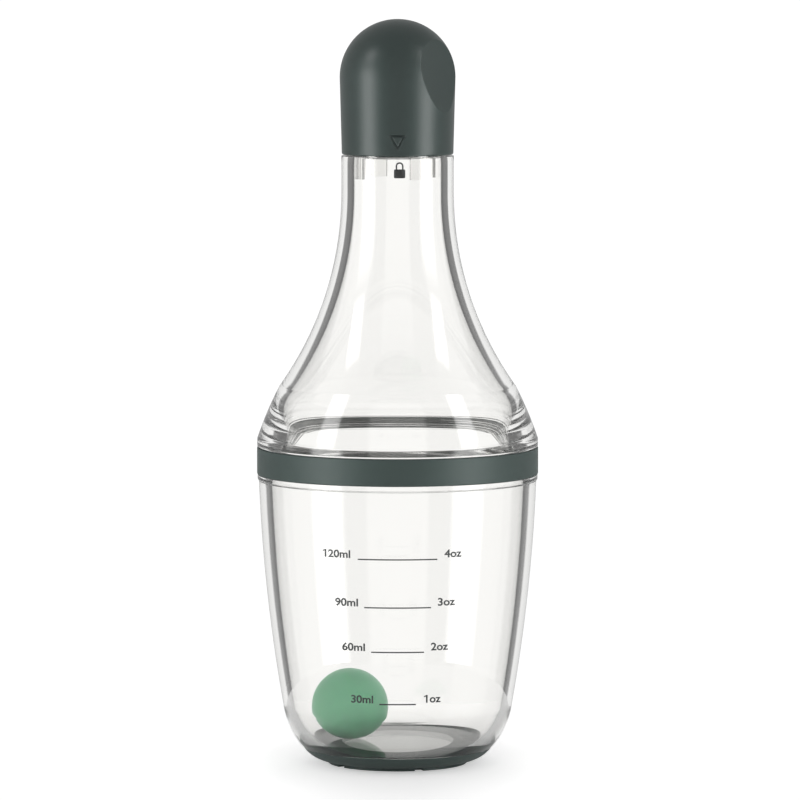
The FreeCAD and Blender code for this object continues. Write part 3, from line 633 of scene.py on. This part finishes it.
# %% Printing on a wall
def print_on(name, shapes, lines, wall, body):
    """Bend flat shapes and the lines of a scale round a wall, as one piece of ink."""
    points, faces = [], []
    for some_points, some_faces in shapes:
        faces += [[i + len(points) for i in face] for face in some_faces]
        points += some_points
    halves = [0.0] * len(points) + [half_length * MM for half_length, height in lines]
    points += [(0.0, 0.0, height) for half_length, height in lines]
    flat = bpy.data.meshes.new(name + "_sheet")
    flat.from_pydata([Vector(p) * MM for p in points], [], faces)
    flat.attributes.new("half_length", "FLOAT", "POINT").data.foreach_set("value", halves)
    maker = bpy.data.objects.new(name, flat)
    bpy.context.scene.collection.objects.link(maker)
    modifier = maker.modifiers.new("print", "NODES")
    modifier.node_group = wrap
    for key, value in {**wall, "Line Width": LINE_WIDTH * MM, "Ink Depth": INK * MM, "Finish": ink}.items():
        modifier[WRAP_KEYS[key]] = value
    mesh = bpy.data.meshes.new_from_object(maker.evaluated_get(bpy.context.evaluated_depsgraph_get()))
    mesh.name = name
    maker.modifiers.remove(modifier)
    maker.data = mesh
    bpy.data.meshes.remove(flat)
    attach(maker, body)
    print(name, "has", len(mesh.polygons), "faces")


# %% [markdown]
# ## The measuring scale
# The lines aren't evenly spaced: the cup gets wider upwards, and each step stands for the
# same amount. The lines also get longer upwards, so that the numbers beside them follow the
# slanting wall. Places across are given as seen from the front and worked out round the wall.
# Blender's own typeface has a bare upright for a one, so the scale's ones get a small flag.

# %% Measuring scale
LEFT_LIFT, RIGHT_LIFT = 0.3, 0.45
FLAG_WIDE, FLAG_DROP, FLAG_THICK, FLAG_OVERLAP = 0.5, 0.3, 0.3, 0.1
SCALE = [
    {"height": 18.3, "half": 4.5, "left": ("30ml", -11.4, -6.0), "right": ("1oz", 6.5, 10.6)},
    {"height": 31.45, "half": 6.5, "left": ("60ml", -13.6, -8.0), "right": ("2oz", 8.2, 12.4)},
    {"height": 42.6, "half": 8.2, "left": ("90ml", -15.3, -9.7), "right": ("3oz", 9.9, 14.1)},
    {"height": 54.6, "half": 9.75, "left": ("120ml", -18.3, -11.6), "right": ("4oz", 11.5, 15.7)},
]
low, high = Vector(WALL_FOOT), Vector(WALL_TOP)
chord = high - low
aside = Vector((-chord.y, chord.x)).normalized()
middle = (low + high) / 2 + aside * math.sqrt(WALL_ROUND ** 2 - chord.length_squared / 4)
CUP_WALL = {"Wall Round": WALL_ROUND * MM, "Centre Radius": middle.x * MM, "Centre Height": middle.y * MM}


def round_the_wall(across, height):
    """The way round the cup to a place that lies so far across, seen from the front."""
    wall_radius = middle.x + math.sqrt(WALL_ROUND ** 2 - (height - middle.y) ** 2)
    return wall_radius * math.asin(across / wall_radius)


def flag(stem, top):
    """The slanting stroke at the top of a one, left of its upright."""
    tip, end = stem - FLAG_WIDE, stem + FLAG_OVERLAP
    return plate([(tip, top - FLAG_DROP - FLAG_THICK), (end, top - FLAG_THICK), (end, top),
                  (tip, top - FLAG_DROP)])


words, ticks = [], []
for row in SCALE:
    height = row["height"]
    for (body, start, end), lift_up in ((row["left"], LEFT_LIFT), (row["right"], RIGHT_LIFT)):
        start, end = round_the_wall(start, height), round_the_wall(end, height)
        if body.startswith("1"):
            start += FLAG_WIDE
            words.append(flag(start, height + lift_up + DIGIT))
        words.append(letters(body, start, end, height + lift_up))
    ticks.append((round_the_wall(row["half"], height), height))
print_on("measuring_scale", words, ticks, CUP_WALL, "cup")

# %% Lock sign
LOCK_ACROSS, LOCK_HALF, LOCK_CORNER = 0.5, 1.4, 0.3
LOCK_LOW, LOCK_HIGH = 147.1, 149.3
BOW_OUTSIDE, BOW_INSIDE, BOW_FOOT, BOW_MIDDLE = 0.97, 0.6, 149.2, 150.1
NECK_WALL = {"Wall Round": 0.0, "Centre Radius": NECK_RADIUS * MM, "Centre Height": 0.0}


def bend(across, up, radius, degrees):
    """Points on an arc round a place, at the angles given."""
    turns = [math.radians(d) for d in degrees]
    return [(across + radius * math.cos(t), up + radius * math.sin(t)) for t in turns]


left, right = LOCK_ACROSS - LOCK_HALF + LOCK_CORNER, LOCK_ACROSS + LOCK_HALF - LOCK_CORNER
bottom, top = LOCK_LOW + LOCK_CORNER, LOCK_HIGH - LOCK_CORNER
lock_rim = []
for x, z, first in ((right, bottom, -90), (right, top, 0), (left, top, 90), (left, bottom, 180)):
    lock_rim += bend(x, z, LOCK_CORNER, range(first, first + 91, 30))
bow_rim = [(LOCK_ACROSS + x, BOW_FOOT) for x in (BOW_INSIDE, BOW_OUTSIDE)]
bow_rim += bend(LOCK_ACROSS, BOW_MIDDLE, BOW_OUTSIDE, range(0, 181, 15))
bow_rim += [(LOCK_ACROSS - x, BOW_FOOT) for x in (BOW_OUTSIDE, BOW_INSIDE)]
bow_rim += bend(LOCK_ACROSS, BOW_MIDDLE, BOW_INSIDE, range(180, -1, -15))
print_on("lock_sign", [plate(lock_rim), plate(bow_rim)], [], NECK_WALL, "upper")

# %% [markdown]
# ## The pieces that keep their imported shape
# The spout, the cap with its liner and seal, the band, the foot ring and the ball are right
# as they are, so they only get their finish.

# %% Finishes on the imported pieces
KEPT = {"pour_spout": clear_plastic, "cap_shell": cap_plastic, "cap_liner": cap_plastic,
        "cap_seal": pale_silicone, "seal_band": dark_silicone, "foot_ring": dark_silicone,
        "mixing_ball": ball_silicone}
for name, skin in KEPT.items():
    nodes[name].material_slots[0].material = skin
    print(name, "gets", skin.name)
